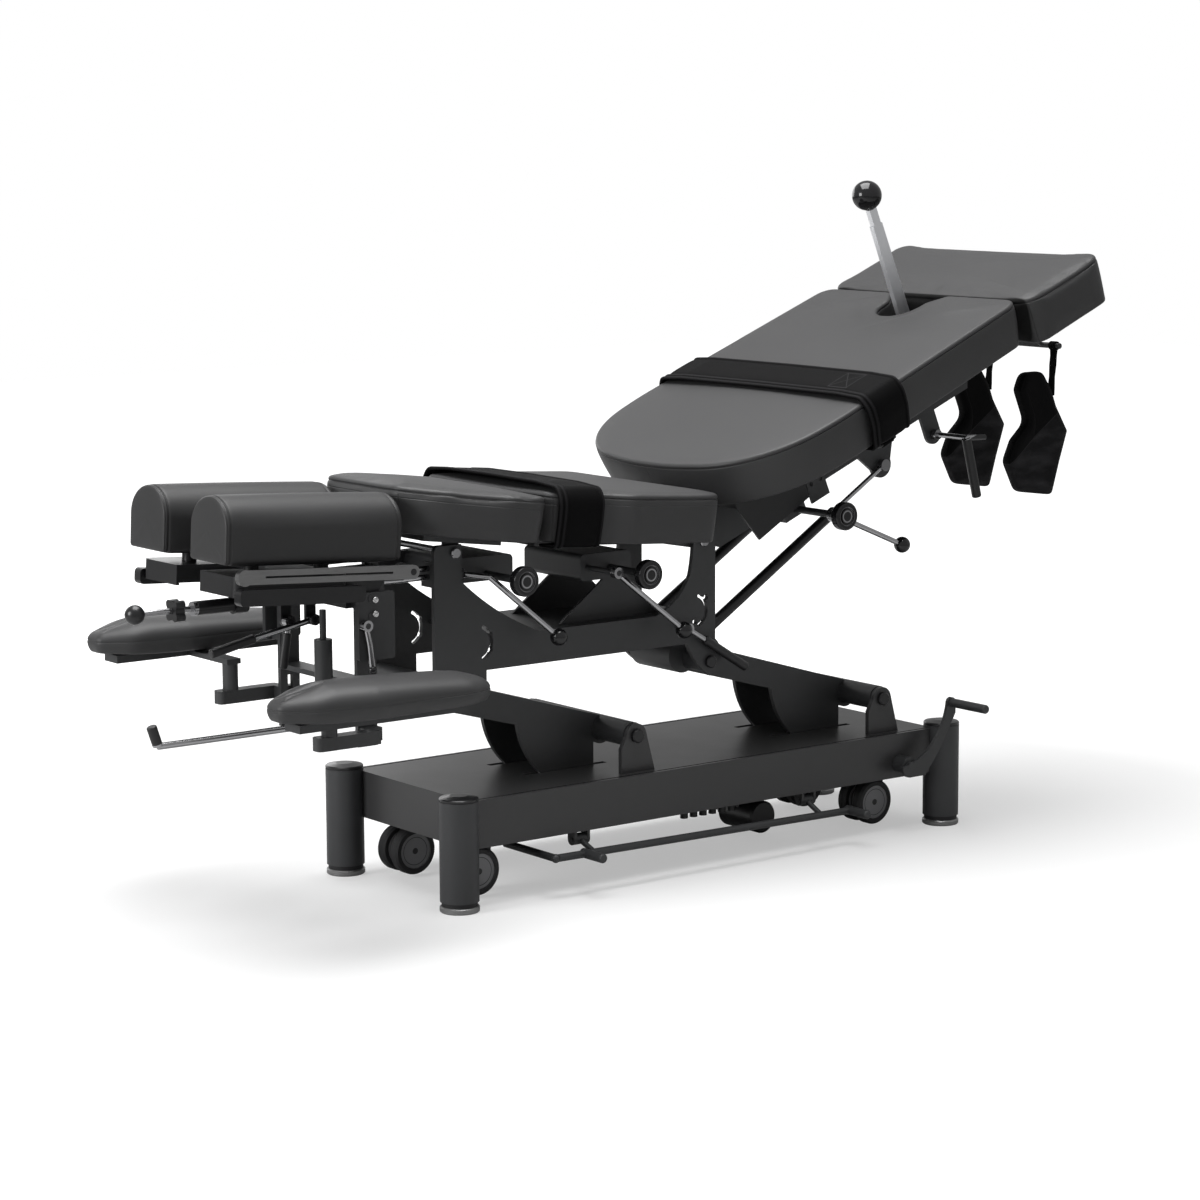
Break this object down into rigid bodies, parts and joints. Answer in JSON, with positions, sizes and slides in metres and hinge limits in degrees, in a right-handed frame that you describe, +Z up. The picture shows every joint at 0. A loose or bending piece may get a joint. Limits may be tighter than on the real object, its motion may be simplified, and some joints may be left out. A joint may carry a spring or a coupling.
{
  "type": "chiropractic treatment table",
  "caption": "Powered chiropractic table: post base, parallel lift arms, head piece with armrests, drop sections, flexion section on gas struts, ankle piece with cuffs.",
  "frame": {"origin": "on the floor under the middle of the base's four levelling feet", "axes": "+X from the head end to the foot end, +Y from the near side with the hand levers to the far side, +Z up"},
  "size_m": [1.8685, 0.6522, 1.0754],
  "materials": {
    "plinth_paint": "satin graphite powder coat",
    "frame_paint": "satin graphite powder coat",
    "black_paint": "satin",
    "chrome": "polished",
    "steel": "brushed",
    "zinc": "bright",
    "vinyl": "upholstery vinyl",
    "webbing": "woven",
    "black_plastic": "fine grain",
    "ball_plastic": "polished",
    "caster_tyre": "matt"
  },
  "bodies": {
    "base": {"plinth": "frame_paint", "corner_posts": "plinth_paint", "levelling_feet": "zinc", "base_pivot_pins": "black_paint", "drive_unit": "black_paint"},
    "caster_carriage": {"caster_carriage": "frame_paint"},
    "caster_crank": {"caster_crank": "black_paint"},
    "foot_bar": {"foot_bar": "frame_paint"},
    "front_arm": {"front_arm": "frame_paint"},
    "rear_arm": {"rear_arm": "frame_paint"},
    "screw": {"screw_rod": "steel"},
    "frame": {"upper_frame": "frame_paint", "frame_pins": "chrome", "head_slide_rods": "chrome"},
    "thoracic": {"thoracic_board": "frame_paint", "thoracic_cushion": "vinyl"},
    "lumbar": {"lumbar_board": "frame_paint", "lumbar_cushion": "vinyl", "waist_strap": "webbing"},
    "pelvic_frame": {"pelvic_frame": "frame_paint"},
    "pelvic_top": {"pelvic_skirt": "black_paint", "pelvic_cushion": "vinyl", "hip_strap": "webbing"},
    "ankle": {"ankle_slide": "frame_paint", "ankle_cushion": "vinyl"},
    "near_cuff": {"near_cuff": "webbing"},
    "far_cuff": {"far_cuff": "webbing"},
    "thoracic_knob": {"thoracic_knob": "ball_plastic"},
    "thoracic_lever": {"thoracic_lever": "chrome"},
    "lumbar_knob": {"lumbar_knob": "black_plastic"},
    "lumbar_lever": {"lumbar_lever": "chrome"},
    "release_lever": {"release_lever": "chrome"},
    "pelvic_knob": {"pelvic_knob": "black_plastic"},
    "pelvic_lever": {"pelvic_lever": "chrome"},
    "flexion_lever": {"flexion_lever": "chrome"},
    "traction_handle": {"traction_handle": "chrome"},
    "strut_cylinders": {"strut_cylinders": "black_paint"},
    "strut_rods": {"strut_rods": "chrome"},
    "head_carriage": {"head_carriage": "frame_paint"},
    "head_tray": {"head_tray": "black_paint"},
    "near_bolster": {"near_bolster": "vinyl"},
    "far_bolster": {"far_bolster": "vinyl"},
    "paper_rail": {"paper_rail": "steel"},
    "head_lock": {"head_lock_knob": "chrome"},
    "tilt_lever": {"tilt_lever": "chrome"},
    "drop_lever": {"drop_lever": "chrome"},
    "curved_lever": {"curved_lever": "chrome"},
    "near_armrest": {"near_armrest_carrier": "frame_paint", "near_armrest_pad": "vinyl"},
    "far_armrest": {"far_armrest_carrier": "frame_paint", "far_armrest_pad": "vinyl"},
    "crank_rod": {"crank_rod": "chrome"},
    "swivel_near_head": {"caster_fork_near_head": "black_plastic"},
    "wheels_near_head": {"caster_wheels_near_head": "caster_tyre"},
    "swivel_far_head": {"caster_fork_far_head": "black_plastic"},
    "wheels_far_head": {"caster_wheels_far_head": "caster_tyre"},
    "swivel_near_foot": {"caster_fork_near_foot": "black_plastic"},
    "wheels_near_foot": {"caster_wheels_near_foot": "caster_tyre"},
    "swivel_far_foot": {"caster_fork_far_foot": "black_plastic"},
    "wheels_far_foot": {"caster_wheels_far_foot": "caster_tyre"}
  },
  "joints": [
    {"name": "lift", "type": "hinge", "parent": "base", "child": "front_arm", "pos_m": [-0.1416, 0, 0.2242], "axis": [0, 1, 0], "range_deg": [-17, 22]},
    {"name": "frame_level", "type": "hinge", "parent": "front_arm", "child": "frame", "pos_m": [-0.47675, 0, 0.31715], "axis": [0, 1, 0], "range_deg": [-22, 17]},
    {"name": "rear_lift", "type": "hinge", "parent": "base", "child": "rear_arm", "pos_m": [0.375, 0, 0.2242], "axis": [0, 1, 0], "range_deg": [-17, 22]},
    {"name": "screw_travel", "type": "slide", "parent": "base", "child": "screw", "axis": [1, 0, 0], "range_m": [-0.0415, 0.032]},
    {"name": "pelvic_flexion", "type": "hinge", "parent": "frame", "child": "pelvic_frame", "pos_m": [0.0255, 0, 0.5136], "axis": [0, 1, 0], "range_deg": [0, 30]},
    {"name": "strut_swing", "type": "hinge", "parent": "frame", "child": "strut_cylinders", "pos_m": [0.022, 0, 0.345], "axis": [0, 1, 0], "range_deg": [0, 26]},
    {"name": "strut_stroke", "type": "slide", "parent": "strut_cylinders", "child": "strut_rods", "axis": [0.8456, 0, 0.5338], "range_m": [-0.08, 0]},
    {"name": "thoracic_drop", "type": "hinge", "parent": "frame", "child": "thoracic", "pos_m": [-0.45526, 0, 0.53602], "axis": [0, 1, 0], "range_deg": [-2.5, 0]},
    {"name": "lumbar_drop", "type": "hinge", "parent": "frame", "child": "lumbar", "pos_m": [0.0255, 0, 0.5136], "axis": [0, 1, 0], "range_deg": [-1.2, 0]},
    {"name": "pelvic_drop", "type": "hinge", "parent": "pelvic_frame", "child": "pelvic_top", "pos_m": [0.59321, 0, 0.72289], "axis": [0, 1, 0], "range_deg": [-1, 0]},
    {"name": "ankle_travel", "type": "slide", "parent": "pelvic_frame", "child": "ankle", "axis": [0.9225, 0, 0.3859], "range_m": [0, 0.15]},
    {"name": "near_cuff_swing", "type": "hinge", "parent": "ankle", "child": "near_cuff", "pos_m": [0.826, -0.078, 0.786], "axis": [0, 1, 0], "range_deg": [-20, 20]},
    {"name": "far_cuff_swing", "type": "hinge", "parent": "ankle", "child": "far_cuff", "pos_m": [0.826, 0.078, 0.786], "axis": [0, 1, 0], "range_deg": [-20, 20]},
    {"name": "thoracic_tension", "type": "hinge", "parent": "frame", "child": "thoracic_knob", "pos_m": [-0.379, -0.17, 0.494], "axis": [0, 1, 0], "continuous": true},
    {"name": "lumbar_tension", "type": "hinge", "parent": "frame", "child": "lumbar_knob", "pos_m": [-0.142, -0.17, 0.483], "axis": [0, 1, 0], "continuous": true},
    {"name": "pelvic_tension", "type": "hinge", "parent": "pelvic_frame", "child": "pelvic_knob", "pos_m": [0.24192, -0.19, 0.5456], "axis": [0, 1, 0], "continuous": true},
    {"name": "thoracic_cocking", "type": "hinge", "parent": "frame", "child": "thoracic_lever", "pos_m": [-0.434, -0.082, 0.5], "axis": [0, -1, 0], "range_deg": [-20, 0]},
    {"name": "lumbar_cocking", "type": "hinge", "parent": "frame", "child": "lumbar_lever", "pos_m": [-0.186, -0.15, 0.487], "axis": [0, -1, 0], "range_deg": [0, 17]},
    {"name": "release", "type": "hinge", "parent": "frame", "child": "release_lever", "pos_m": [-0.016, -0.113, 0.378], "axis": [0, -1, 0], "range_deg": [0, 20]},
    {"name": "pelvic_cocking", "type": "hinge", "parent": "pelvic_frame", "child": "pelvic_lever", "pos_m": [0.24192, -0.17, 0.5456], "axis": [0, -1, 0], "range_deg": [0, 15]},
    {"name": "flexion_handle", "type": "hinge", "parent": "pelvic_frame", "child": "flexion_lever", "pos_m": [0.58317, 0, 0.75338], "axis": [0, 1, 0], "range_deg": [-10, 15]},
    {"name": "traction_lock", "type": "hinge", "parent": "pelvic_frame", "child": "traction_handle", "pos_m": [0.551, -0.1, 0.64887], "axis": [0, 1, 0], "range_deg": [0, 40]},
    {"name": "head_travel", "type": "slide", "parent": "frame", "child": "head_carriage", "axis": [-1, 0, 0], "range_m": [0, 0.04]},
    {"name": "head_tilt", "type": "hinge", "parent": "head_carriage", "child": "head_tray", "pos_m": [-0.628, 0, 0.487], "axis": [0, 1, 0], "range_deg": [-12, 1]},
    {"name": "near_bolster_slide", "type": "slide", "parent": "head_tray", "child": "near_bolster", "axis": [0, 1, 0], "range_m": [-0.02, 0]},
    {"name": "far_bolster_slide", "type": "slide", "parent": "head_tray", "child": "far_bolster", "axis": [0, 1, 0], "range_m": [0, 0.02]},
    {"name": "paper_rail_swing", "type": "hinge", "parent": "head_tray", "child": "paper_rail", "pos_m": [-0.56673, -0.153, 0.52343], "axis": [0, 1, 0], "range_deg": [0, 90]},
    {"name": "head_lock_turn", "type": "hinge", "parent": "head_tray", "child": "head_lock", "pos_m": [-0.9, -0.06, 0.488], "axis": [1, 0, 0], "continuous": true},
    {"name": "tilt_release", "type": "hinge", "parent": "head_tray", "child": "tilt_lever", "pos_m": [-0.684, -0.064, 0.453], "axis": [0, 1, 0], "range_deg": [-20, 0]},
    {"name": "drop_release", "type": "hinge", "parent": "head_tray", "child": "drop_lever", "pos_m": [-0.704, -0.026, 0.448], "axis": [0, 1, 0], "range_deg": [-15, 15]},
    {"name": "slide_release", "type": "hinge", "parent": "head_carriage", "child": "curved_lever", "pos_m": [-0.643, -0.143, 0.449], "axis": [0, 1, 0], "range_deg": [-15, 15]},
    {"name": "near_armrest_height", "type": "slide", "parent": "head_carriage", "child": "near_armrest", "axis": [0, 0, 1], "range_m": [-0.05, 0.03]},
    {"name": "far_armrest_height", "type": "slide", "parent": "head_carriage", "child": "far_armrest", "axis": [0, 0, 1], "range_m": [-0.08, 0]},
    {"name": "crank_rod_turn", "type": "hinge", "parent": "near_armrest", "child": "crank_rod", "pos_m": [-0.87, -0.15, 0.314], "axis": [1, 0, 0], "range_deg": [-45, 45]},
    {"name": "foot_bar_rock", "type": "hinge", "parent": "base", "child": "foot_bar", "pos_m": [0, -0.15, 0.078], "axis": [1, 0, 0], "range_deg": [-5, 5]},
    {"name": "caster_crank_turn", "type": "hinge", "parent": "base", "child": "caster_crank", "pos_m": [0.393, -0.19, 0.116], "axis": [0, 1, 0], "range_deg": [0, 90]},
    {"name": "caster_drop", "type": "slide", "parent": "base", "child": "caster_carriage", "axis": [0, 0, 1], "range_m": [-0.004, 0]},
    {"name": "swivel_near_head", "type": "hinge", "parent": "caster_carriage", "child": "swivel_near_head", "pos_m": [-0.405, -0.088, 0.09], "axis": [0, 0, 1], "continuous": true},
    {"name": "spin_near_head", "type": "hinge", "parent": "swivel_near_head", "child": "wheels_near_head", "pos_m": [-0.425, -0.088, 0.0425], "axis": [0, 1, 0], "continuous": true},
    {"name": "swivel_far_head", "type": "hinge", "parent": "caster_carriage", "child": "swivel_far_head", "pos_m": [-0.405, 0.088, 0.09], "axis": [0, 0, 1], "continuous": true},
    {"name": "spin_far_head", "type": "hinge", "parent": "swivel_far_head", "child": "wheels_far_head", "pos_m": [-0.425, 0.088, 0.0425], "axis": [0, 1, 0], "continuous": true},
    {"name": "swivel_near_foot", "type": "hinge", "parent": "caster_carriage", "child": "swivel_near_foot", "pos_m": [0.405, -0.088, 0.09], "axis": [0, 0, 1], "continuous": true},
    {"name": "spin_near_foot", "type": "hinge", "parent": "swivel_near_foot", "child": "wheels_near_foot", "pos_m": [0.385, -0.088, 0.0425], "axis": [0, 1, 0], "continuous": true},
    {"name": "swivel_far_foot", "type": "hinge", "parent": "caster_carriage", "child": "swivel_far_foot", "pos_m": [0.405, 0.088, 0.09], "axis": [0, 0, 1], "continuous": true},
    {"name": "spin_far_foot", "type": "hinge", "parent": "swivel_far_foot", "child": "wheels_far_foot", "pos_m": [0.385, 0.088, 0.0425], "axis": [0, 1, 0], "continuous": true}
  ],
  "couplings": [
    {"joint": "frame_level", "follows": "lift", "ratio": -1},
    {"joint": "rear_lift", "follows": "lift", "ratio": 1},
    {"joint": "screw_travel", "follows": "lift", "m_per_rad": -0.10712},
    {"joint": "strut_swing", "follows": "pelvic_flexion", "ratio": 0.86},
    {"joint": "strut_stroke", "follows": "pelvic_flexion", "m_per_rad": -0.152},
    {"joint": "caster_drop", "follows": "caster_crank_turn", "m_per_rad": -0.002546}
  ]
}
